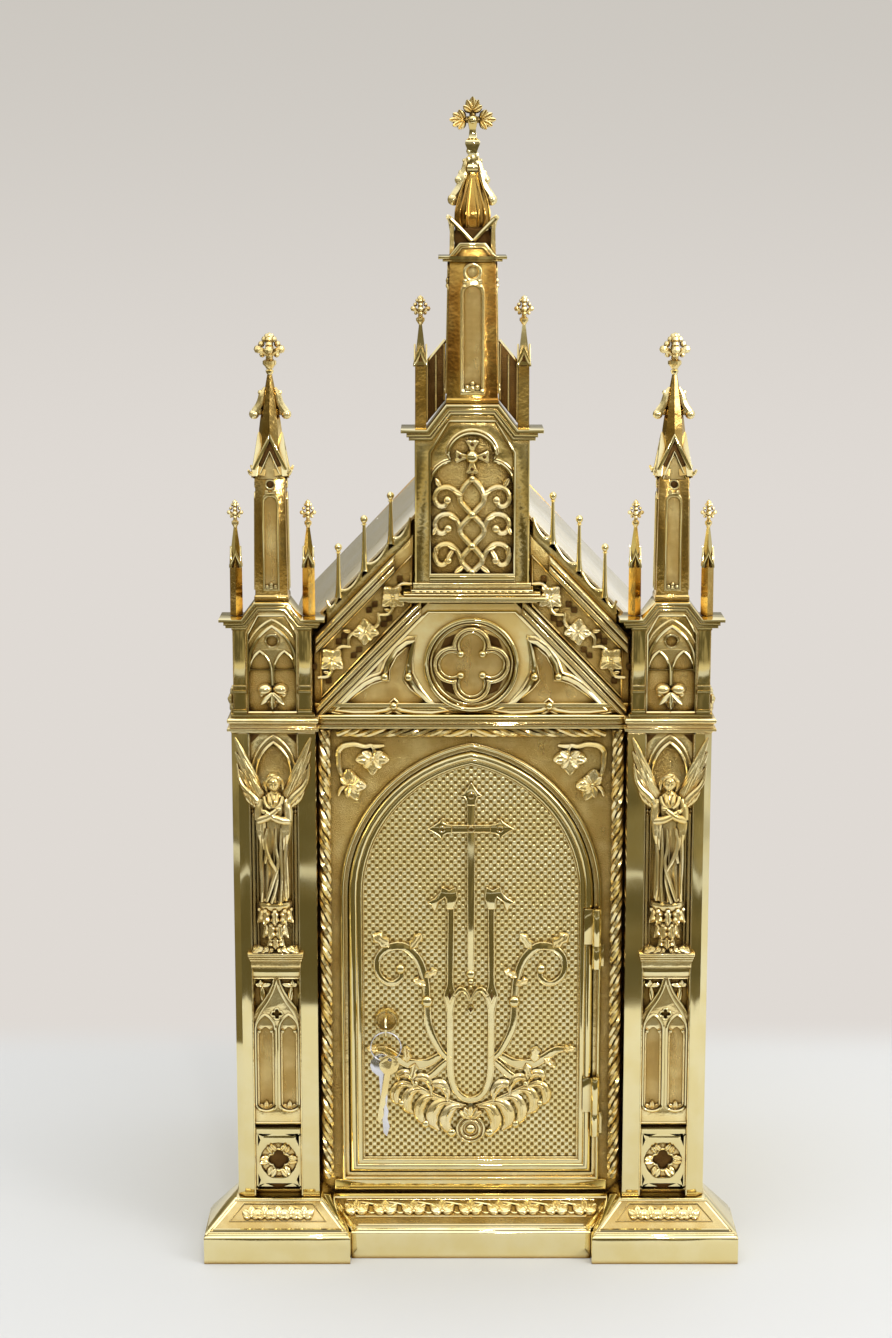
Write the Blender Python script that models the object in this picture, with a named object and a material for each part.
"""Gothic brass altar tabernacle: a gabled chest with a hinged arched door.

The object stands on the XY plane, +Z is up and its front faces -Y. The origin is the middle
of the underside. All sizes are in metres. The named sizes below drive everything; the
functions further down build one piece each.
"""

import math

import bmesh
import bpy
from mathutils import Matrix, Vector

# ---- driving sizes -------------------------------------------------------------------------------
GAP = 0.0003                # air left between pieces that touch
WIDTH = 0.455               # over the two side plinths
DEPTH = 0.360               # plinth front to back wall
FRONT = -DEPTH / 2
BACK = DEPTH / 2

BAND_TOP = 0.026            # upright band at the foot of the plinths
SIDE_FOOT_TOP = 0.0485      # where the piers start
CENTRE_FOOT_TOP = 0.041
CENTRE_FOOT_HALF = 0.1025
CENTRE_FOOT_SETBACK = 0.012
SIDE_FOOT_DEPTH = 0.066

PIER_X = 0.165              # middle of each pier, tower and turret
PIER_HALF = 0.035
PIER_FRONT = FRONT + 0.030
PIER_CHAMFER = 0.006
NICHE_HALF = 0.0208
NICHE_DEPTH = 0.012
PANEL_SINK = 0.003

PANEL_FRONT = FRONT + 0.066  # face of the recessed front panel
PANEL_BACK = PANEL_FRONT + 0.004
PIER_BACK = PANEL_FRONT - GAP

SHEET = 0.0025              # brass sheet of the chest
CHEST_HALF = 0.157
FLOOR_TOP = 0.053
CEILING_TOP = 0.4545

BELT_BOTTOM = 0.457
BELT_TOP = 0.4695

DOOR_HALF = 0.1045
DOOR_BOTTOM = 0.0585
DOOR_SPRING = 0.308
DOOR_RADIUS = 0.1281        # of the door's own edge
DOOR_CLEARANCE = 0.0006
DOOR_RIM = 0.0095           # width of the raised rim round the door's field
DOOR_RELIEF = 0.0026
FRAME_WIDTH = 0.0065
DOOR_FACE = PANEL_FRONT + 0.0005
RIM_FACE = PANEL_FRONT - 0.005

LOCK_X = -0.0728
LOCK_Z = 0.1966
LOCK_RADIUS = 0.0102

HINGE_X = 0.1075
HINGE_RADIUS = 0.0040
HINGE_Y = RIM_FACE - 0.0005 - HINGE_RADIUS
HINGE_HEIGHTS = (0.245, 0.094)
HINGE_FIXED_LENGTH = 0.020
HINGE_DOOR_LENGTH = 0.032
HINGE_PIN_RADIUS = 0.0014
HINGE_PIN_PLAY = 0.0001

GABLE_SLOPE = math.radians(46)
GABLE_FRONT = FRONT + 0.050
GABLE_HALF = 0.1315
UPPER_RAKE_PEAK = 0.669     # where the upper edge would meet the middle line
LOWER_RAKE_PEAK = 0.610
RAKE_WIDTH = 0.0085
RAKE_PROUD = 0.007
ROUNDEL_Z = 0.5115
ROUNDEL_RADIUS = 0.0375

ROOF_EAVE_HALF = 0.158
ROOF_PEAK = 0.6845

TOWER_HALF = 0.0325
TOWER_SHOULDER = 0.547      # underside of the tower's cornice
CORNICE_HEIGHT = 0.006
SIDE_TOWER_Y = (PIER_FRONT + PIER_BACK) / 2

MID_TOWER_HALF = 0.0465
MID_TOWER_DEPTH = 0.0187    # half of its depth
MID_TOWER_Y = FRONT + 0.028 + MID_TOWER_DEPTH
LEDGE_BOTTOM = 0.567
LEDGE_TOP = 0.578
MID_SHOULDER = 0.7035

TOP = 0.973                 # tip of the finial cross

# ---- colours -------------------------------------------------------------------------------------
POLISHED = (0.80, 0.69, 0.38)
ANTIQUE = (0.58, 0.45, 0.18)
BRONZED = (0.42, 0.34, 0.18)
NICKEL = (0.72, 0.73, 0.75)


# ---- scene and object helpers --------------------------------------------------------------------
def clear_scene():
    """Remove every object of the open file."""
    for item in list(bpy.data.objects):
        bpy.data.objects.remove(item, do_unlink=True)


def make_collection(name):
    """Return a new collection linked to the scene."""
    collection = bpy.data.collections.new(name)
    bpy.context.scene.collection.children.link(collection)
    return collection


def make_metal(name, colour, roughness):
    """Return a metallic material."""
    material = bpy.data.materials.new(name)
    material.use_nodes = True
    shader = material.node_tree.nodes["Principled BSDF"]
    shader.inputs["Base Color"].default_value = (*colour, 1.0)
    shader.inputs["Metallic"].default_value = 1.0
    shader.inputs["Roughness"].default_value = roughness
    return material


def object_from_bmesh(bm, name):
    """Turn a bmesh into an unlinked object with its normals out."""
    bmesh.ops.recalc_face_normals(bm, faces=bm.faces)
    mesh = bpy.data.meshes.new(name)
    bm.to_mesh(mesh)
    bm.free()
    return bpy.data.objects.new(name, mesh)


def as_part(shape, name, colour=POLISHED, roughness=0.2, smooth=False):
    """Name a shape, give it a metal of its own and put it among the parts."""
    shape.name = name
    shape.data.name = name
    shape.data.materials.clear()
    shape.data.materials.append(make_metal(name, colour, roughness))
    if smooth:
        shape.data.shade_smooth()
        shape.data.set_sharp_from_angle(angle=math.radians(40))
    PARTS.objects.link(shape)
    return shape


def as_helper(shape):
    """Put a shape that only cuts or joins another among the helpers."""
    shape.display_type = "WIRE"
    shape.hide_render = True
    HELPERS.objects.link(shape)
    return shape


def combine(target, others, operation):
    """Add one Boolean modifier to the target for each of the other shapes."""
    for other in others:
        modifier = target.modifiers.new(operation.title(), "BOOLEAN")
        modifier.operation = operation
        modifier.solver = "EXACT"
        modifier.object = as_helper(other)
    return target


def join(target, *others):
    """Unite shapes with the target."""
    return combine(target, others, "UNION")


def cut(target, *others):
    """Take shapes out of the target."""
    return combine(target, others, "DIFFERENCE")


# ---- shapes --------------------------------------------------------------------------------------
def box(x_range, y_range, z_range):
    """Return a box between three pairs of limits."""
    bm = bmesh.new()
    bmesh.ops.create_cube(bm, size=1.0)
    for vert in bm.verts:
        vert.co = (x_range[vert.co.x > 0], y_range[vert.co.y > 0], z_range[vert.co.z > 0])
    return object_from_bmesh(bm, "box")


def extrude_cap(bm, cap, keep):
    """Extrude a cap face and return the new cap and its corners. The old face stays only as a base."""
    new = bmesh.ops.extrude_face_region(bm, geom=[cap])["geom"]
    if not keep:
        bmesh.ops.delete(bm, geom=[cap], context="FACES_ONLY")
    corners = [item for item in new if isinstance(item, bmesh.types.BMVert)]
    faces = [item for item in new if isinstance(item, bmesh.types.BMFace)]
    return faces[0], corners


def stack(levels):
    """Extrude a rectangle upwards through levels of (x limits, y limits, height)."""
    bm = bmesh.new()
    bmesh.ops.create_grid(bm, x_segments=1, y_segments=1, size=0.5)
    corners = {vert: (vert.co.x > 0, vert.co.y > 0) for vert in bm.verts}
    face = bm.faces[:][0]
    for number, level in enumerate(levels):
        if number:
            face, above = extrude_cap(bm, face, number == 1)
            below = {tuple(vert.co): key for vert, key in corners.items()}
            corners = {vert: below[tuple(vert.co)] for vert in above}
        for vert, (right, rear) in corners.items():
            vert.co = (level[0][right], level[1][rear], level[2])
    return object_from_bmesh(bm, "stack")


def spire(x, y, levels):
    """Extrude a square centred on (x, y) upwards through levels of (half width, height)."""
    return stack([((x - half, x + half), (y - half, y + half), z) for half, z in levels])


def turned(profile, x, y, segments=8, squash=1.0):
    """Return a turned solid from (radius, height) points listed from top to bottom, squashed along Y."""
    mesh = bpy.data.meshes.new("turned")
    bm = bmesh.new()
    points = [bm.verts.new((radius, 0.0, z)) for radius, z in profile]
    for first, second in zip(points, points[1:]):
        bm.edges.new((first, second))
    bmesh.ops.spin(bm, geom=bm.verts[:] + bm.edges[:], cent=(0, 0, 0), axis=(0, 0, 1),
                   angle=2 * math.pi, steps=segments, use_merge=True)
    bmesh.ops.remove_doubles(bm, verts=bm.verts, dist=1e-6)
    bmesh.ops.holes_fill(bm, edges=[edge for edge in bm.edges if edge.is_boundary], sides=segments)
    bmesh.ops.scale(bm, vec=(1.0, squash, 1.0), verts=bm.verts)
    bmesh.ops.translate(bm, vec=(x, y, 0.0), verts=bm.verts)
    bmesh.ops.recalc_face_normals(bm, faces=bm.faces)
    bm.to_mesh(mesh)
    bm.free()
    return bpy.data.objects.new("turned", mesh)


def ball(x, y, z, radius, stretch=(1.0, 1.0, 1.0), segments=8):
    """Return a small globe, stretched along the axes."""
    bm = bmesh.new()
    bmesh.ops.create_uvsphere(bm, u_segments=segments, v_segments=segments // 2 + 1, radius=radius)
    bmesh.ops.scale(bm, vec=stretch, verts=bm.verts)
    bmesh.ops.translate(bm, vec=(x, y, z), verts=bm.verts)
    return object_from_bmesh(bm, "ball")


def rod(start, end, radius, segments=8):
    """Return a cylinder from one point to another."""
    start = Vector(start)
    line = Vector(end) - start
    bm = bmesh.new()
    bmesh.ops.create_cone(bm, cap_ends=True, segments=segments, radius1=radius, radius2=radius,
                          depth=line.length)
    turn = Vector((0, 0, 1)).rotation_difference(line.normalized()).to_matrix().to_4x4()
    place = Matrix.Translation(start + line / 2) @ turn
    bmesh.ops.transform(bm, matrix=place, verts=bm.verts)
    return object_from_bmesh(bm, "rod")


def flat_shape(loops, front, back):
    """Return the solid of flat outlines of (x, z) points between two depths. Inner loops are holes."""
    curve = bpy.data.curves.new("outline", "CURVE")
    curve.dimensions = "2D"
    curve.fill_mode = "BOTH"
    curve.extrude = (back - front) / 2
    for loop in loops:
        spline = curve.splines.new("POLY")
        spline.points.add(len(loop) - 1)
        spline.use_cyclic_u = True
        for point, (x, z) in zip(spline.points, loop):
            point.co = (x, z, 0.0, 1.0)
    guide = bpy.data.objects.new("outline", curve)
    bpy.context.scene.collection.objects.link(guide)
    bpy.context.view_layer.update()
    graph = bpy.context.evaluated_depsgraph_get()
    mesh = bpy.data.meshes.new_from_object(guide.evaluated_get(graph))
    bpy.data.objects.remove(guide, do_unlink=True)
    bm = bmesh.new()
    bm.from_mesh(mesh)
    bpy.data.meshes.remove(mesh)
    bmesh.ops.remove_doubles(bm, verts=bm.verts, dist=1e-6)
    bmesh.ops.dissolve_limit(bm, angle_limit=math.radians(0.5), verts=bm.verts, edges=bm.edges)
    for vert in bm.verts:
        vert.co = (vert.co.x, front if vert.co.z > 0 else back, vert.co.y)
    return object_from_bmesh(bm, "flat")


def upright_prism(outline, z_low, z_high):
    """Extrude a flat outline of (x, y) points from one height to another."""
    bm = bmesh.new()
    bm.faces.new([bm.verts.new((x, y, z_low)) for x, y in outline])
    new = bmesh.ops.extrude_face_region(bm, geom=bm.faces[:])["geom"]
    raised = [item for item in new if isinstance(item, bmesh.types.BMVert)]
    bmesh.ops.translate(bm, vec=(0, 0, z_high - z_low), verts=raised)
    return object_from_bmesh(bm, "prism")


def mirrored(points, side):
    """Return points with X multiplied by side, which is 1 or -1."""
    return [(side * x, z) for x, z in points]


def disc(x, z, radius, count=16):
    """Return the outline of a disc."""
    angles = [2 * math.pi * step / count for step in range(count)]
    return [(x + radius * math.cos(angle), z + radius * math.sin(angle)) for angle in angles]


def lobed(x, z, radius, lobes, depth, count=24, turn=0.0):
    """Return an outline with round lobes, as a rosette or a foil has."""
    outline = []
    for step in range(count):
        angle = 2 * math.pi * step / count
        reach = radius * (1 - depth * (0.5 + 0.5 * math.cos(lobes * angle)))
        outline.append((x + reach * math.cos(angle + turn), z + reach * math.sin(angle + turn)))
    return outline


class Arch:
    """A pointed arch over straight jambs, drawn from two centres."""

    def __init__(self, x, half, bottom, spring, radius, steps=8):
        self.x = x
        self.half = half
        self.bottom = bottom
        self.spring = spring
        self.radius = radius
        self.steps = steps

    def outline(self, grow=0.0, sill=0.0):
        """Return the outline moved out by grow at the sides and by sill at the bottom."""
        offset = self.radius - self.half
        radius = self.radius + grow
        peak = math.acos(offset / radius)
        angles = [peak * step / self.steps for step in range(self.steps + 1)]
        right = [(radius * math.cos(a) - offset, radius * math.sin(a)) for a in angles]
        left = [(-x, z) for x, z in reversed(right[:-1])]
        jambs = [(-self.half - grow, self.bottom - self.spring - sill),
                 (self.half + grow, self.bottom - self.spring - sill)]
        return [(self.x + x, self.spring + z) for x, z in jambs + right + left]


def lancet(x, half, bottom, spring, steps=4):
    """Return the outline of a narrow pointed opening with an equilateral head."""
    return Arch(x, half, bottom, spring, 2 * half, steps).outline()


def hooded_block(x, y, half, depth, bottom, shoulder, rise, flat, foot, eave, rear=0.0):
    """Return a block under a cornice that climbs over its middle: flat top, sloping sides, level eaves.

    The cornice overhangs the front, and by rear the back.
    """
    inner = [(-half, bottom), (half, bottom), (half, shoulder), (foot, shoulder),
             (flat, shoulder + rise), (-flat, shoulder + rise), (-foot, shoulder), (-half, shoulder)]
    up = CORNICE_HEIGHT
    hood = [(-eave, shoulder - 0.001), (-foot, shoulder - 0.001), (-flat, shoulder + rise - 0.001),
            (flat, shoulder + rise - 0.001), (foot, shoulder - 0.001), (eave, shoulder - 0.001),
            (eave, shoulder + up), (foot - 0.001, shoulder + up), (flat, shoulder + rise + up),
            (-flat, shoulder + rise + up), (0.001 - foot, shoulder + up), (-eave, shoulder + up)]
    block = flat_shape([[(x + px, pz) for px, pz in inner]], y - depth, y + depth)
    over = min(0.007, depth / 3)
    return join(block, flat_shape([[(x + px, pz) for px, pz in hood]], y - depth - over, y + depth + rear))


# ---- plinths and chest ---------------------------------------------------------------------------
def build_plinths():
    """The two side plinths under the piers and the lower one between them."""
    outer = WIDTH / 2
    inner = CENTRE_FOOT_HALF + GAP
    for side, name in ((-1, "plinth_left"), (1, "plinth_right")):
        foot = sorted((side * inner, side * outer))
        pier = sorted((side * (PIER_X - PIER_HALF - 0.001), side * (PIER_X + PIER_HALF + 0.001)))
        body = stack([(foot, (FRONT, FRONT + SIDE_FOOT_DEPTH - GAP), 0.0),
                      (foot, (FRONT, FRONT + SIDE_FOOT_DEPTH - GAP), BAND_TOP),
                      (pier, (PIER_FRONT - 0.001, PIER_BACK), SIDE_FOOT_TOP)])
        as_part(body, name, POLISHED, 0.12)
    front = FRONT + CENTRE_FOOT_SETBACK
    half = CENTRE_FOOT_HALF
    body = stack([((-half, half), (front, PIER_BACK), 0.0),
                  ((-half, half), (front, PIER_BACK), BAND_TOP - 0.002),
                  ((-half, half), (front + 0.001, PIER_BACK), BAND_TOP + 0.0005)])
    slope = stack([((-half, half), (front + 0.001, PIER_BACK), BAND_TOP - 0.001),
                   ((-half + 0.003, half - 0.003), (PANEL_FRONT - 0.010, PIER_BACK), CENTRE_FOOT_TOP)])
    as_part(join(body, slope), "plinth_centre", POLISHED, 0.14)


def build_chest():
    """The plain sheet-brass chest behind the front."""
    inside = CHEST_HALF - SHEET
    rear = BACK - SHEET - GAP
    front = PANEL_BACK + GAP
    slope = math.tan(GABLE_SLOPE)
    thick = SHEET / math.cos(GABLE_SLOPE)
    eave_z = ROOF_PEAK - ROOF_EAVE_HALF * slope
    under = ROOF_PEAK - thick - 0.0006
    wall_top = under - CHEST_HALF * slope
    as_part(box((-CHEST_HALF, CHEST_HALF), (FRONT + SIDE_FOOT_DEPTH, BACK), (0.0, SHEET)),
            "base_plate", ANTIQUE, 0.35)
    for side, name in ((-1, "wall_left"), (1, "wall_right")):
        limits = sorted((side * (inside + GAP), side * CHEST_HALF))
        as_part(box(limits, (front, rear), (SHEET + GAP, wall_top)), name, POLISHED, 0.18)
    wall = [(-CHEST_HALF, SHEET + GAP), (CHEST_HALF, SHEET + GAP), (CHEST_HALF, wall_top),
            (0.0, under), (-CHEST_HALF, wall_top)]
    as_part(flat_shape([wall], BACK - SHEET, BACK), "wall_back", POLISHED, 0.2)
    as_part(box((-inside, inside), (front, rear), (FLOOR_TOP - SHEET, FLOOR_TOP)),
            "chest_floor", POLISHED, 0.2)
    as_part(box((-inside, inside), (front, rear), (CEILING_TOP - SHEET, CEILING_TOP)),
            "chest_ceiling", POLISHED, 0.2)
    for side, name in ((-1, "roof_left"), (1, "roof_right")):
        sheet = [(GAP, ROOF_PEAK), (GAP, ROOF_PEAK - thick), (ROOF_EAVE_HALF, eave_z - thick),
                 (ROOF_EAVE_HALF, eave_z)]
        as_part(flat_shape([mirrored(sheet, side)], PANEL_FRONT, BACK), name, POLISHED, 0.1)


def build_front_panel():
    """The recessed front wall with its arched doorway and the fixed frame round it."""
    door = door_arch()
    wall = [(-CHEST_HALF, SHEET + GAP), (CHEST_HALF, SHEET + GAP),
            (CHEST_HALF, BELT_BOTTOM - GAP), (-CHEST_HALF, BELT_BOTTOM - GAP)]
    opening = door.outline(DOOR_CLEARANCE, DOOR_CLEARANCE)
    as_part(flat_shape([wall, opening], PANEL_FRONT, PANEL_BACK), "front_panel", ANTIQUE, 0.4)
    frame = flat_shape([door.outline(DOOR_CLEARANCE + FRAME_WIDTH, 0.006), opening],
                       RIM_FACE, PANEL_FRONT - GAP)
    as_part(frame, "door_frame", POLISHED, 0.15)


# ---- ropes ---------------------------------------------------------------------------------------
def twisted_bar(length, pitch, half, steps_per_strand=2):
    """Return a square bar twisted along +X from the origin, a quarter turn for each pitch."""
    steps = round(length / pitch * steps_per_strand)
    bm = bmesh.new()
    bmesh.ops.create_grid(bm, x_segments=1, y_segments=1, size=half)
    bmesh.ops.transform(bm, matrix=Matrix.Rotation(math.pi / 2, 4, "Y"), verts=bm.verts)
    face = bm.faces[:][0]
    turn = Matrix.Rotation(math.pi / 2 / steps_per_strand, 4, "X")
    for step in range(steps):
        face, verts = extrude_cap(bm, face, step == 0)
        bmesh.ops.transform(bm, matrix=turn, verts=verts)
        bmesh.ops.translate(bm, vec=(length / steps, 0, 0), verts=verts)
    return object_from_bmesh(bm, "rope")


def build_ropes():
    """The twisted mouldings up both sides of the doorway and along its head."""
    half = 0.0040
    radius = half * math.sqrt(2)
    middle = PANEL_FRONT - radius - GAP
    x = PIER_X - PIER_HALF - radius - GAP
    low = SIDE_FOOT_TOP + 0.004
    high = BELT_BOTTOM - 2 * GAP
    for side, name in ((-1, "rope_left"), (1, "rope_right")):
        bar = twisted_bar(high - low, 0.0184, half)
        stand = Matrix.Diagonal((side, 1, 1, 1)) @ Matrix.Rotation(-math.pi / 2, 4, "Y")
        bar.data.transform(Matrix.Translation((side * x, middle, low)) @ stand)
        if side < 0:
            bar.data.flip_normals()
        as_part(bar, name, POLISHED, 0.25)
    reach = x - radius - 2 * GAP
    head_half = 0.0034
    head_z = high - head_half * math.sqrt(2)
    head = twisted_bar(2 * reach, 0.0196, head_half)
    head.data.transform(Matrix.Translation((-reach, PANEL_FRONT - head_half * math.sqrt(2) - GAP, head_z)))
    as_part(head, "rope_head", POLISHED, 0.25)


# ---- piers ---------------------------------------------------------------------------------------
def corbel_profile():
    """Return the turned profile of the corbel under a figure."""
    return [(0.0, 0.3112), (0.0145, 0.3112), (0.0150, 0.307), (0.0105, 0.303), (0.0115, 0.298),
            (0.0125, 0.291), (0.0085, 0.283), (0.0080, 0.277), (0.0040, 0.270), (0.0, 0.2665)]


def build_piers():
    """The hollow-cast piers, each with a niche over a double lancet panel and a square panel."""
    for side, name in ((-1, "pier_left"), (1, "pier_right")):
        x = side * PIER_X
        inner = x - side * PIER_HALF
        outer = x + side * PIER_HALF
        plan = [(inner, PIER_BACK), (inner, PIER_FRONT), (outer - side * PIER_CHAMFER, PIER_FRONT),
                (outer, PIER_FRONT + PIER_CHAMFER), (outer, PIER_BACK)]
        pier = upright_prism(plan, SIDE_FOOT_TOP + GAP, BELT_BOTTOM - GAP)
        niche_back = PIER_FRONT + NICHE_DEPTH
        panel_back = PIER_FRONT + PANEL_SINK
        cut(pier,
            flat_shape([Arch(x, NICHE_HALF, 0.268, 0.422, 0.038, 5).outline()],
                       PIER_FRONT - 0.01, niche_back),
            box((x - NICHE_HALF, x + NICHE_HALF), (PIER_FRONT - 0.01, panel_back), (0.1165, 0.2530)),
            box((x - NICHE_HALF, x + NICHE_HALF), (PIER_FRONT - 0.01, panel_back), (0.0540, 0.1125)))
        for shift in (-0.0103, 0.0103):
            slot = lancet(x + shift, 0.0066, 0.127, 0.2045)
            cut(pier, flat_shape([slot], PIER_FRONT - 0.01, panel_back + 0.003))
        ledge = stack([((x - 0.0205, x + 0.0205), (PIER_FRONT - 0.001, niche_back + 0.002), 0.2525),
                       ((x - 0.0235, x + 0.0235), (PIER_FRONT - 0.006, niche_back + 0.002), 0.2600),
                       ((x - 0.0235, x + 0.0235), (PIER_FRONT - 0.006, niche_back + 0.002), 0.2680)])
        ring = flat_shape([disc(x, 0.0833, 0.0185), lobed(x, 0.0833, 0.0150, 4, 0.35, 16)],
                          panel_back - 0.002, panel_back + 0.001)
        corbel = turned(corbel_profile(), x, PIER_FRONT + 0.0035, 8, 0.62)
        join(pier, ledge, ring, corbel)
        for shift in (-1, 1):
            column_x = x + shift * (NICHE_HALF - 0.0028)
            join(pier, rod((column_x, PIER_FRONT + 0.004, 0.265), (column_x, PIER_FRONT + 0.004, 0.389),
                           0.0020, 6),
                 box((column_x - 0.003, column_x + 0.003), (PIER_FRONT + 0.001, niche_back + 0.001),
                     (0.386, 0.397)))
        as_part(pier, name, POLISHED, 0.15)


def build_belt():
    """The moulding that runs across the front above piers and door, breaking forward over the piers."""
    over = 0.003
    heights = (BELT_BOTTOM, BELT_BOTTOM + 0.003, BELT_TOP - 0.004, BELT_TOP)
    swell = (0.0, over, over, 0.0)
    half = PIER_X + PIER_HALF
    middle_front = GABLE_FRONT - 0.004
    belt = stack([((-half + 0.010, half - 0.010), (middle_front - out, PIER_BACK), z)
                  for out, z in zip(swell, heights)])
    for side in (-1, 1):
        inner = side * (PIER_X - PIER_HALF)
        outer = side * half
        join(belt, stack([(sorted((inner - side * out * 0.3, outer + side * out)),
                           (PIER_FRONT - out, PIER_BACK), z) for out, z in zip(swell, heights)]))
    as_part(belt, "belt", POLISHED, 0.2)


# ---- figures -------------------------------------------------------------------------------------
def robe(x, y, levels, folds=6):
    """Return a draped standing robe from wavy rings of (half width, half depth, wave, height)."""
    bm = bmesh.new()
    count = folds * 2
    bmesh.ops.create_circle(bm, cap_ends=True, segments=count, radius=1.0)
    face = bm.faces[:][0]
    angles = {vert: math.atan2(vert.co.y, vert.co.x) for vert in bm.verts}
    for number, (half_x, half_y, wave, z) in enumerate(levels):
        if number:
            before = {tuple(vert.co): angle for vert, angle in angles.items()}
            face, ring = extrude_cap(bm, face, number == 1)
            angles = {vert: before[tuple(vert.co)] for vert in ring}
        for vert, angle in angles.items():
            swell = 1 + wave * math.cos(folds * angle)
            vert.co = (x + half_x * swell * math.cos(angle), y + half_y * swell * math.sin(angle), z)
    return object_from_bmesh(bm, "robe")


def build_angels():
    """The winged figures in the niches, arms crossed on the breast."""
    y = PIER_FRONT - 0.0005
    for side, name in ((-1, "angel_left"), (1, "angel_right")):
        x = side * PIER_X
        figure = robe(x, y, [(0.0135, 0.0085, 0.10, 0.3116), (0.0125, 0.0080, 0.12, 0.325),
                             (0.0105, 0.0075, 0.12, 0.350), (0.0110, 0.0080, 0.08, 0.370),
                             (0.0140, 0.0085, 0.05, 0.385), (0.0125, 0.0075, 0.0, 0.3985),
                             (0.0045, 0.0045, 0.0, 0.4035), (0.0038, 0.0040, 0.0, 0.4100)])
        join(figure, ball(x, y - 0.0008, 0.4165, 0.0062, (0.88, 1.0, 1.30), 6))
        for arm in (-1, 1):
            elbow = (x + arm * 0.0145, y - 0.003, 0.3790)
            join(figure, rod((x + arm * 0.0112, y, 0.396), elbow, 0.0036, 6),
                 rod(elbow, (x - arm * 0.0045, y - 0.0085, 0.3895), 0.0030, 6))
            wing = [(0.006, 0.398), (0.0135, 0.3820), (0.0205, 0.400), (0.0265, 0.4230),
                    (0.0322, 0.4535), (0.0245, 0.4440), (0.0150, 0.4230)]
            plate = [(x + arm * px, pz) for px, pz in wing]
            join(figure, flat_shape([plate], PIER_FRONT - 0.0028, PIER_FRONT - 2 * GAP))
        as_part(figure, name, POLISHED, 0.2, smooth=True)


def build_corner_leaves():
    """The two flowers on stems in each upper corner of the front panel."""
    back = PANEL_FRONT - GAP
    for side, name in ((-1, "corner_leaves_left"), (1, "corner_leaves_right")):
        first = (side * 0.0835, 0.4265)
        second = (side * 0.1015, 0.4055)
        spray = flat_shape([lobed(*first, 0.0105, 4, 0.45, 16, math.pi / 4)], back - 0.0045, back)
        join(spray, flat_shape([lobed(*second, 0.0105, 4, 0.45, 16, math.pi / 4)], back - 0.0045, back))
        fork = (side * 0.1115, 0.4375)
        for end in (first, second):
            join(spray, rod((fork[0], back - 0.0016, fork[1]), (end[0], back - 0.0016, end[1]), 0.0015, 6))
        as_part(spray, name, POLISHED, 0.25)


# ---- gable ---------------------------------------------------------------------------------------
def rake_band(peak, width, side, low, high, front, back):
    """Return a raking band whose upper edge aims at a peak, between two distances from the middle."""
    slope = math.tan(GABLE_SLOPE)
    drop = width / math.cos(GABLE_SLOPE)
    band = [(low, peak - low * slope), (low, peak - low * slope - drop),
            (high, peak - high * slope - drop), (high, peak - high * slope)]
    return flat_shape([mirrored(band, side)], front, back)


def build_gable():
    """The cast gable: two raking mouldings a side, a rosette frieze between them and a pierced roundel."""
    slope = math.tan(GABLE_SLOPE)
    bottom = BELT_TOP + GAP
    half = GABLE_HALF - GAP
    shoulder = UPPER_RAKE_PEAK - half * slope
    top_half = MID_TOWER_HALF + 0.002
    top = UPPER_RAKE_PEAK - top_half * slope
    notch = LEDGE_BOTTOM - GAP
    outline = [(-half, bottom), (half, bottom), (half, shoulder), (top_half, top),
               (top_half, LEDGE_TOP + 0.002), (0.0615, LEDGE_TOP + 0.002), (0.0615, notch),
               (-0.0615, notch), (-0.0615, LEDGE_TOP + 0.002), (-top_half, LEDGE_TOP + 0.002),
               (-top_half, top), (-half, shoulder)]
    gable = flat_shape([outline], GABLE_FRONT, PIER_BACK)
    for side in (-1, 1):
        ledge_foot = (LOWER_RAKE_PEAK - notch) / slope
        join(gable,
             rake_band(UPPER_RAKE_PEAK, RAKE_WIDTH, side, 0.0625, half - 0.001,
                       GABLE_FRONT - RAKE_PROUD, GABLE_FRONT + 0.002),
             rake_band(LOWER_RAKE_PEAK, RAKE_WIDTH, side, ledge_foot + 0.001, half - 0.002,
                       GABLE_FRONT - RAKE_PROUD, GABLE_FRONT + 0.002))
        for distance in (0.0760, 0.0960, 0.1160):
            z = (UPPER_RAKE_PEAK + LOWER_RAKE_PEAK) / 2 - distance * slope
            join(gable, flat_shape([lobed(side * distance, z, 0.0085, 4, 0.4, 12)],
                                   GABLE_FRONT - 0.003, GABLE_FRONT + 0.001))
    ring = [disc(0.0, ROUNDEL_Z, ROUNDEL_RADIUS, 20),
            lobed(0.0, ROUNDEL_Z, 0.0300, 4, 0.30, 24, math.pi / 4)]
    join(gable, flat_shape(ring, GABLE_FRONT - 0.005, GABLE_FRONT + 0.001))
    cut(gable, flat_shape([lobed(0.0, ROUNDEL_Z, 0.0240, 4, 0.34, 24, math.pi / 4)],
                          GABLE_FRONT - 0.02, GABLE_FRONT + 0.004))
    cut(gable, box((-GABLE_HALF, GABLE_HALF), (GABLE_FRONT - 0.02, PIER_BACK + 0.01),
                   (bottom - 0.02, bottom)))
    as_part(gable, "gable", ANTIQUE, 0.3)


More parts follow.
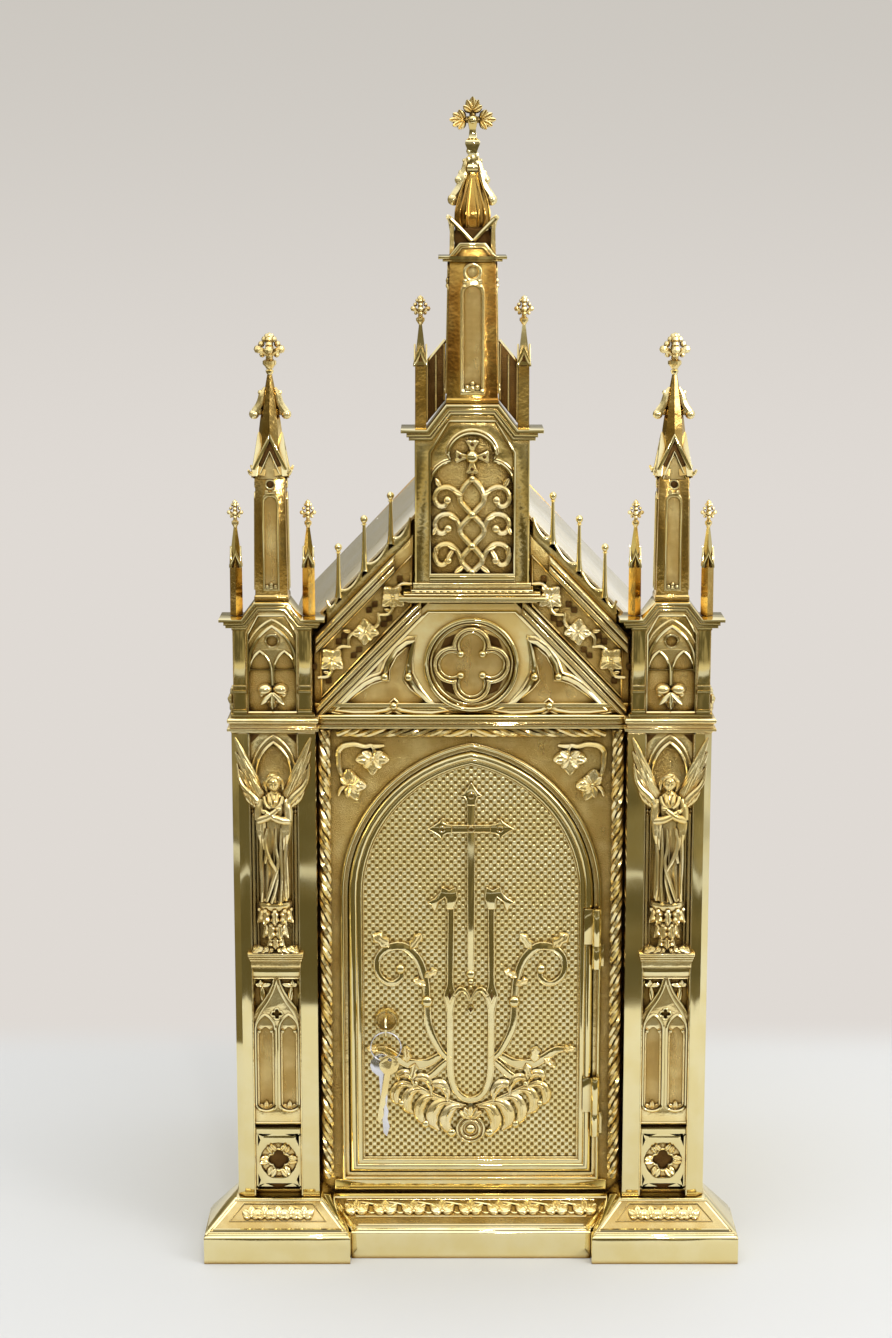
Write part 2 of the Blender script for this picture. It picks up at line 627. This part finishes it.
def build_cresting():
    """The scalloped strips with ball-topped spikes that stand on the gable's rakes."""
    slope = math.tan(GABLE_SLOPE)
    front = GABLE_FRONT + 0.002
    back = front + 0.005
    spikes = ((0.0670, 0.656), (0.0890, 0.636), (0.1105, 0.6125))
    for side, name in ((-1, "cresting_left"), (1, "cresting_right")):
        foot = UPPER_RAKE_PEAK + 2 * GAP
        low, high = MID_TOWER_HALF + 0.004, 0.1205
        strip = [(low, foot - low * slope), (high, foot - high * slope)]
        edge = 0.011
        stations = [high] + [spike for spike, _ in reversed(spikes)] + [low]
        for outer, inner in zip(stations, stations[1:]):
            for step in range(7):
                share = step / 6
                x = outer + (inner - outer) * share
                dip = 0.006 * math.sin(math.pi * share)
                strip.append((x, foot - x * slope + edge + 0.004 - dip))
        unique = [point for number, point in enumerate(strip) if point not in strip[:number]]
        crest = flat_shape([mirrored(unique, side)], front, back)
        for x, tip in spikes:
            base = foot - x * slope
            profile = [(0.0, tip), (0.0024, tip - 0.0018), (0.0028, tip - 0.0050), (0.0011, tip - 0.0080),
                       (0.0020, base + 0.0060), (0.0, base + 0.0050)]
            join(crest, turned(profile, side * x, (front + back) / 2, 6))
        as_part(crest, name, BRONZED, 0.3)


# ---- towers --------------------------------------------------------------------------------------
def crocket_ring(x, y, z, reach, radius):
    """Return four little balls round a spirelet at one height."""
    return [ball(x + dx * reach, y + dy * reach, z, radius, (1.0, 1.0, 1.2), 4)
            for dx, dy in ((-1, 0), (1, 0), (0, -1), (0, 1))]


def crocket_arms(x, y, z, reach, radius):
    """Return the two crossed rods that carry a ring of crockets."""
    across = rod((x - reach, y, z), (x + reach, y, z), radius, 5)
    along = rod((x, y - reach, z), (x, y + reach, z), 0.9 * radius, 5)
    return [across, along]


def finial_outline(x, z_low, z_high, half):
    """Return a leafy four-armed finial on a stalk."""
    middle = z_high - half
    arm = 0.34 * half
    right = [(0.18 * half, z_low), (arm, middle - 0.85 * half), (0.8 * arm, middle - 0.40 * half),
             (half, middle), (0.8 * arm, middle + 0.40 * half), (arm, middle + 0.75 * half), (0.0, z_high)]
    left = [(-px, pz) for px, pz in reversed(right[:-1])]
    return [(x + px, pz) for px, pz in right + left]


def build_pinnacle(name, x, y, z_low, z_gable, z_top, half):
    """A slender square pinnacle: shaft, four-way gablets, tapering roof and finial."""
    tall = z_top - z_gable
    shaft = spire(x, y, [(half, z_low), (half, z_gable - 0.004), (1.75 * half, z_gable),
                         (1.05 * half, z_gable + 0.010), (0.30 * half, z_gable + 0.55 * tall),
                         (0.26 * half, z_top - 0.012)])
    outline = finial_outline(x, z_gable + 0.5 * tall, z_top, 0.0062)
    join(shaft, flat_shape([outline], y - 0.0012, y + 0.0012))
    as_part(shaft, name, POLISHED, 0.2)


def build_side_tower(side, name):
    """A low tower over a pier with its cornice, panel and side flower."""
    x = side * PIER_X
    depth = (PIER_BACK - PIER_FRONT) / 2 - 0.001
    y = PIER_FRONT + 0.001 + depth
    tower = hooded_block(x, y, TOWER_HALF, depth, BELT_TOP + GAP, TOWER_SHOULDER, 0.014, 0.0142, 0.0245,
                         0.0435)
    face = y - depth
    sunk = face + 0.0035
    panel = [(-0.0205, 0.4735), (0.0205, 0.4735), (0.0205, 0.540), (0.0115, 0.5565), (-0.0115, 0.5565),
             (-0.0205, 0.540)]
    cut(tower, flat_shape([[(x + px, pz) for px, pz in panel]], face - 0.02, sunk))
    head = Arch(x, 0.0195, 0.474, 0.515, 0.034, 5)
    tracery = flat_shape([head.outline(), head.outline(-0.0022, -0.001)], face + 0.001, sunk + 0.001)
    boss = flat_shape([lobed(x, 0.4875, 0.0105, 3, 0.40, 18, math.pi / 6)], face - 0.002, sunk + 0.001)
    outer = x + side * TOWER_HALF
    flower = ball(outer + side * 0.003, y, 0.4835, 0.0085, (0.75, 1.0, 1.3), 6)
    join(tower, tracery, boss, flower)
    as_part(tower, f"tower_{name}", POLISHED, 0.2)
    for place, shift in (("outer", side), ("inner", -side)):
        build_pinnacle(f"pinnacle_{name}_{place}", x + shift * 0.0300, y, 0.5533, 0.597, 0.650, 0.0037)


def build_turret(side, name):
    """The tall turret on a side tower, its roof and its finial."""
    x, y = side * PIER_X, SIDE_TOWER_Y
    top = 0.671
    shaft = spire(x, y, [(0.0142, 0.5675), (0.0142, 0.572), (0.0132, 0.574), (0.0122, top)])
    for face in (-1, 1):
        cut(shaft, flat_shape([lancet(x, 0.0062, 0.578, 0.645)],
                              y + face * 0.0140 - 0.0035, y + face * 0.0140 + 0.0035))
    as_part(shaft, f"turret_{name}", POLISHED, 0.2)
    roof = spire(x, y, [(0.0130, top + GAP), (0.0185, 0.6745), (0.0060, 0.700), (0.0042, 0.7300),
                        (0.0018, 0.7520)])
    gablet = [(-0.0200, 0.6715), (-0.0130, 0.6715), (0.0, 0.6930), (0.0130, 0.6715), (0.0200, 0.6715),
              (0.0195, 0.6755), (0.0, 0.7065), (-0.0195, 0.6755)]
    hood = flat_shape([[(x + px, pz) for px, pz in gablet]], y - 0.0190, y + 0.0190)
    join(roof, hood, *crocket_ring(x, y, 0.7205, 0.0115, 0.0036),
         *crocket_arms(x, y, 0.7200, 0.0115, 0.0014))
    as_part(roof, f"turret_roof_{name}", POLISHED, 0.2)
    stalk = spire(x, y, [(0.0016, 0.7523), (0.0022, 0.7560), (0.0013, 0.7600), (0.0013, 0.770)])
    outline = finial_outline(x, 0.758, 0.7865, 0.0128)
    turned_outline = finial_outline(y, 0.758, 0.7840, 0.0100)
    cross_arm = flat_shape([turned_outline], -0.0013, 0.0013)
    cross_arm.data.transform(Matrix.Translation((x, 0, 0)) @ Matrix.Rotation(math.pi / 2, 4, "Z"))
    join(stalk, flat_shape([outline], y - 0.0018, y + 0.0018), cross_arm)
    as_part(stalk, f"turret_finial_{name}", POLISHED, 0.2)


def build_central_tower():
    """The middle tower on its ledge, with a panel of plain strapwork."""
    y, depth = MID_TOWER_Y, MID_TOWER_DEPTH
    ledge = stack([((-0.0470, 0.0470), (y - depth, y + depth), LEDGE_BOTTOM),
                   ((-0.0600, 0.0600), (y - depth - 0.008, y + depth), LEDGE_BOTTOM + 0.002),
                   ((-0.0600, 0.0600), (y - depth - 0.008, y + depth), LEDGE_BOTTOM + 0.005),
                   ((-0.0490, 0.0490), (y - depth - 0.003, y + depth), LEDGE_TOP)])
    as_part(ledge, "central_ledge", POLISHED, 0.18)
    tower = hooded_block(0.0, y, MID_TOWER_HALF, depth, LEDGE_TOP + GAP, MID_SHOULDER, 0.0205, 0.0215,
                         0.0368, 0.0580, 0.003)
    face = y - depth
    sunk = face + 0.004
    panel = [(-0.0345, 0.584), (0.0345, 0.584), (0.0345, 0.690), (0.0180, 0.7165), (-0.0180, 0.7165),
             (-0.0345, 0.690)]
    cut(tower, flat_shape([panel], face - 0.02, sunk))
    head = Arch(0.0, 0.0335, 0.585, 0.660, 0.045, 6)
    tracery = flat_shape([head.outline(), head.outline(-0.0030, -0.0015)], face + 0.0005, sunk + 0.001)
    flower = flat_shape([lobed(0.0, 0.6865, 0.0125, 4, 0.4, 24, math.pi / 4)], face - 0.001, sunk + 0.001)
    join(tower, tracery, flower)
    join(tower, *[flat_shape([[(x - 0.0024, 0.590), (x + 0.0024, 0.590), (x + 0.0024, 0.668),
                               (x, 0.672), (x - 0.0024, 0.668)]], face + 0.001, sunk + 0.001)
                  for x in (-0.012, 0.012)])
    as_part(tower, "central_tower", POLISHED, 0.2)


def build_central_spire():
    """The tall shaft over the middle tower with its side pinnacles, roof and finial cross."""
    y = MID_TOWER_Y
    foot = MID_SHOULDER + 0.0205 + CORNICE_HEIGHT + GAP
    shaft = spire(0.0, y, [(0.0212, foot), (0.0212, 0.7345), (0.0206, 0.7355), (0.0185, 0.8425)])
    cut(shaft, *[flat_shape([lancet(0.0, 0.0064, 0.746, 0.812)],
                            y + face * 0.0205 - 0.004, y + face * 0.0205 + 0.004) for face in (-1, 1)])
    eave = [(-0.0275, 0.8415), (-0.0180, 0.8415), (-0.0095, 0.8525), (0.0095, 0.8525), (0.0180, 0.8415),
            (0.0275, 0.8415), (0.0275, 0.8460), (0.0185, 0.8470), (0.0110, 0.8585), (-0.0110, 0.8585),
            (-0.0185, 0.8470), (-0.0275, 0.8460)]
    join(shaft, flat_shape([eave], y - 0.0255, y + 0.0255))
    as_part(shaft, "central_spire", ANTIQUE, 0.25)
    roof = spire(0.0, y, [(0.0110, 0.8588), (0.0125, 0.865), (0.0135, 0.8800), (0.0080, 0.8960),
                          (0.0052, 0.9100), (0.0052, 0.9137)])
    join(roof, *crocket_ring(0.0, y, 0.8935, 0.0140, 0.0036), *crocket_ring(0.0, y, 0.9080, 0.0100, 0.0034),
         *crocket_arms(0.0, y, 0.8930, 0.0140, 0.0015), *crocket_arms(0.0, y, 0.9075, 0.0100, 0.0012),
         *[rod((dx * 0.006, y + dy * 0.006, 0.862), (dx * 0.0205, y + dy * 0.0205, 0.8800), 0.0022, 6)
           for dx, dy in ((-1, -1), (1, -1), (-1, 1), (1, 1))])
    as_part(roof, "central_roof", POLISHED, 0.2)
    stalk = spire(0.0, y, [(0.0045, 0.9140), (0.0055, 0.918), (0.0022, 0.922), (0.0026, 0.934),
                           (0.0040, 0.936), (0.0020, 0.939), (0.0020, 0.950)])
    join(stalk, flat_shape([finial_outline(0.0, 0.936, TOP, 0.0185)], y - 0.0028, y + 0.0028))
    as_part(stalk, "finial_cross", POLISHED, 0.2)
    for side, name in ((-1, "left"), (1, "right")):
        x = side * 0.0420
        build_pinnacle(f"pinnacle_central_{name}", x, y, MID_SHOULDER + CORNICE_HEIGHT + GAP, 0.766,
                       0.8165, 0.0044)
        slope_foot = MID_SHOULDER + CORNICE_HEIGHT + 2 * GAP
        web = [(0.0373, slope_foot + 0.0015), (0.0373, 0.7610), (0.0220, 0.7800), (0.0217, 0.7310)]
        plate = flat_shape([mirrored(web, side)], y - 0.004, y + 0.004)
        as_part(plate, f"spire_web_{name}", BRONZED, 0.3)


# ---- door ----------------------------------------------------------------------------------------
def door_arch():
    """Return the outline shared by the door, its doorway and its frame."""
    return Arch(0.0, DOOR_HALF, DOOR_BOTTOM, DOOR_SPRING, DOOR_RADIUS, 9)


def cross_outline(x, z, arm, foot, half):
    """Return a Latin cross with pointed, widened ends."""
    tip = 2.4 * half
    barb = 0.9 * tip
    up = [(half, z + half), (half, z + arm - tip), (tip, z + arm - barb), (0.0, z + arm)]
    right = [(arm, z), (arm - barb, z + tip), (arm - tip, z + half)]
    quarter = right + up
    lower = [(half, foot), (half, z - half), (arm - tip, z - half), (arm - barb, z - tip)]
    side = lower + quarter
    return [(x + px, pz) for px, pz in side] + [(x - px, pz) for px, pz in reversed(side[:-1])]


def ribbon(points, start_half, end_half):
    """Return the outline of a flat band along (x, z) points, tapering from one half width to another."""
    left, right = [], []
    last = len(points) - 1
    for number, (x, z) in enumerate(points):
        before = points[max(number - 1, 0)]
        after = points[min(number + 1, last)]
        run, rise = after[0] - before[0], after[1] - before[1]
        length = math.hypot(run, rise)
        half = start_half + (end_half - start_half) * number / last
        left.append((x - rise / length * half, z + run / length * half))
        right.append((x + rise / length * half, z - run / length * half))
    return left + right[::-1]


def volute(x, z, side, turns, radius, count):
    """Return points that wind in from a radius to a tight curl."""
    points = []
    for step in range(count + 1):
        share = step / count
        angle = -math.pi / 2 + side * 2 * math.pi * turns * share
        reach = radius * (1 - 0.72 * share)
        points.append((x + reach * math.cos(angle), z + reach * math.sin(angle)))
    return points


def build_door():
    """The arched door leaf, its cross and scroll relief, and its lock."""
    arch = door_arch()
    leaf = flat_shape([arch.outline()], DOOR_FACE, PANEL_BACK)
    rim = flat_shape([arch.outline(), arch.outline(-DOOR_RIM, -DOOR_RIM - 0.001)],
                     RIM_FACE, DOOR_FACE + 0.001)
    pivoted(join(as_part(leaf, "door_leaf", POLISHED, 0.25), rim))
    back = DOOR_FACE - GAP
    front = back - DOOR_RELIEF
    relief = flat_shape([cross_outline(0.0, 0.3665, 0.0400, 0.2250, 0.0030)], front, back)
    link = [(-0.020, 0.2150), (0.0, 0.2050), (0.020, 0.2150), (0.0, 0.2300)]
    outlines = [link, lobed(0.0, 0.0975, 0.0125, 8, 0.2, 16),
                ribbon([(0.0, 0.1240), (0.0, 0.1020)], 0.0030, 0.0030)]
    for side in (-1, 1):
        stem = [(side * 0.0240, 0.3180), (side * 0.0160, 0.3000), (side * 0.0165, 0.1600),
                (side * 0.0110, 0.1320), (-side * 0.0015, 0.1200)]
        branch = [(side * 0.0165, 0.1700), (side * 0.0350, 0.1560), (side * 0.0500, 0.1600)]
        curl = volute(side * 0.0590, 0.2080, side, 1.0, 0.0330, 10)
        leaf = mirrored([(0.0060, 0.1000), (0.0300, 0.1080), (0.0460, 0.1230), (0.0600, 0.1420)], side)
        outlines += [ribbon(stem, 0.0030, 0.0030), ribbon(branch + curl, 0.0030, 0.0018),
                     ribbon(leaf, 0.0050, 0.0015)]
    layer = 0.00002
    join(relief, *[flat_shape([outline], front - 10 * layer * number, back - layer * number)
                   for number, outline in enumerate(outlines, 1)])
    cut(relief, rod((LOCK_X, front - 0.01, LOCK_Z), (LOCK_X, back + 0.01, LOCK_Z), LOCK_RADIUS + GAP, 16))
    pivoted(as_part(relief, "door_relief", POLISHED, 0.2))


def pivoted(part):
    """Hang a part of the door from the door's own axis."""
    part.parent = DOOR_AXIS
    part.matrix_parent_inverse = DOOR_AXIS.matrix_world.inverted()
    return part


def build_hinges():
    """Two lift-off hinges: a fixed knuckle with a pin under a longer knuckle on the door."""
    flap = 0.0012
    for number, low in enumerate(HINGE_HEIGHTS):
        place = ("upper", "lower")[number]
        seam = low + HINGE_FIXED_LENGTH
        top = seam + GAP + HINGE_DOOR_LENGTH
        rear = HINGE_Y + HINGE_RADIUS
        fixed = rod((HINGE_X, HINGE_Y, low), (HINGE_X, HINGE_Y, seam), HINGE_RADIUS, 12)
        join(fixed,
             rod((HINGE_X, HINGE_Y, low + 0.004), (HINGE_X, HINGE_Y, top - 0.010), HINGE_PIN_RADIUS, 10),
             box((HINGE_X, HINGE_X + 0.0062), (rear - flap, rear), (low + 0.001, seam)))
        as_part(fixed, f"hinge_knuckle_{place}", POLISHED, 0.2, smooth=True)
        moving = rod((HINGE_X, HINGE_Y, seam + GAP), (HINGE_X, HINGE_Y, top), HINGE_RADIUS, 12)
        join(moving, box((HINGE_X - 0.0105, HINGE_X), (rear - flap, rear), (seam + GAP, top - 0.001)))
        cut(moving, rod((HINGE_X, HINGE_Y, low), (HINGE_X, HINGE_Y, top - 0.009),
                        HINGE_PIN_RADIUS + HINGE_PIN_PLAY, 10))
        pivoted(as_part(moving, f"door_knuckle_{place}", POLISHED, 0.2, smooth=True))


def flat_key(x, z_top, length, bow, y, thick, tilt):
    """Return a flat key with a round bow and a notched blade, hung from its bow hole and tilted."""
    blade = 0.30 * bow
    teeth = [(blade, -2 * bow), (blade, -0.55 * length), (0.55 * blade, -0.62 * length),
             (blade, -0.70 * length), (0.5 * blade, -0.78 * length), (blade, -0.88 * length),
             (0.0, -length), (-blade, -0.95 * length), (-blade, -2 * bow)]
    upper = [(bow * math.sin(a), -bow + bow * math.cos(a))
             for a in [math.radians(-150 + 30 * step) for step in range(11)]]
    shape = flat_shape([[(px, pz) for px, pz in upper + teeth], disc(0.0, -0.45 * bow, 0.22 * bow, 8)],
                       -thick / 2, thick / 2)
    shape.data.transform(Matrix.Translation((x, y, z_top)) @ Matrix.Rotation(tilt, 4, "Y"))
    return shape


def build_lock():
    """The lock cylinder with its key, and the ring with two more keys that hangs from it."""
    x, z = LOCK_X, LOCK_Z
    back = DOOR_FACE - GAP
    face = back - 0.0075
    profile = [(0.0, face), (0.86 * LOCK_RADIUS, face), (LOCK_RADIUS, face + 0.0015),
               (LOCK_RADIUS, back), (0.0, back)]
    cylinder = turned(profile, 0.0, 0.0, 16)
    cylinder.data.transform(Matrix.Translation((x, 0, z)) @ Matrix.Rotation(-math.pi / 2, 4, "X"))
    cylinder.data.flip_normals()
    cut(cylinder, box((x - 0.0011, x + 0.0011), (face - 0.01, face + 0.006), (z - 0.0045, z + 0.0045)))
    pivoted(as_part(cylinder, "lock_cylinder", POLISHED, 0.2, smooth=True))
    key = box((x - 0.0008, x + 0.0008), (face - 0.004, face + 0.005), (z - 0.0040, z + 0.0040))
    bow = turned([(0.0, 0.0008), (0.0100, 0.0008), (0.0100, -0.0008), (0.0, -0.0008)], 0.0, 0.0, 14)
    bow.data.transform(Matrix.Translation((x, face - 0.0125, z)) @ Matrix.Rotation(math.pi / 2, 4, "Y"))
    hole_z = z - 0.0058
    hole = rod((x - 0.01, face - 0.0155, hole_z), (x + 0.01, face - 0.0155, hole_z), 0.0024, 8)
    cut(join(key, bow), hole)
    pivoted(as_part(key, "key_in_lock", POLISHED, 0.2))
    bm = bmesh.new()
    ring_radius, wire = 0.0130, 0.0006
    bmesh.ops.create_circle(bm, segments=4, radius=wire)
    bmesh.ops.transform(bm, matrix=Matrix.Rotation(math.pi / 2, 4, "X"), verts=bm.verts)
    bmesh.ops.translate(bm, vec=(ring_radius, 0, 0), verts=bm.verts)
    bmesh.ops.spin(bm, geom=bm.verts[:] + bm.edges[:], cent=(0, 0, 0), axis=(0, 0, 1),
                   angle=2 * math.pi, steps=16, use_merge=True)
    bmesh.ops.remove_doubles(bm, verts=bm.verts, dist=1e-7)
    centre = Vector((x, face - 0.0155, hole_z - ring_radius + 0.0014))
    bmesh.ops.transform(bm, matrix=Matrix.Translation(centre) @ Matrix.Rotation(math.pi / 2, 4, "X"),
                        verts=bm.verts)
    pivoted(as_part(object_from_bmesh(bm, "ring"), "key_ring", NICKEL, 0.25, smooth=True))
    low = centre.z - ring_radius
    silver = flat_key(x - 0.0045, low + 0.0060, 0.075, 0.0100, centre.y + 0.0024, 0.0018, math.radians(-4))
    pivoted(as_part(silver, "hanging_key_long", NICKEL, 0.25))
    short = flat_key(x + 0.0040, low + 0.0060, 0.062, 0.0085, centre.y - 0.0024, 0.0018, math.radians(9))
    pivoted(as_part(short, "hanging_key_short", POLISHED, 0.25))


def main():
    """Build every piece."""
    build_plinths()
    build_chest()
    build_front_panel()
    build_ropes()
    build_piers()
    build_belt()
    build_angels()
    build_corner_leaves()
    build_gable()
    build_cresting()
    for side, name in ((-1, "left"), (1, "right")):
        build_side_tower(side, name)
        build_turret(side, name)
    build_central_tower()
    build_central_spire()
    build_door()
    build_hinges()
    build_lock()


clear_scene()
PARTS = make_collection("altar_tabernacle")
HELPERS = make_collection("cutters")
DOOR_AXIS = bpy.data.objects.new("door_axis", None)
DOOR_AXIS.location = (HINGE_X, HINGE_Y, 0.0)
PARTS.objects.link(DOOR_AXIS)
bpy.context.view_layer.update()
main()
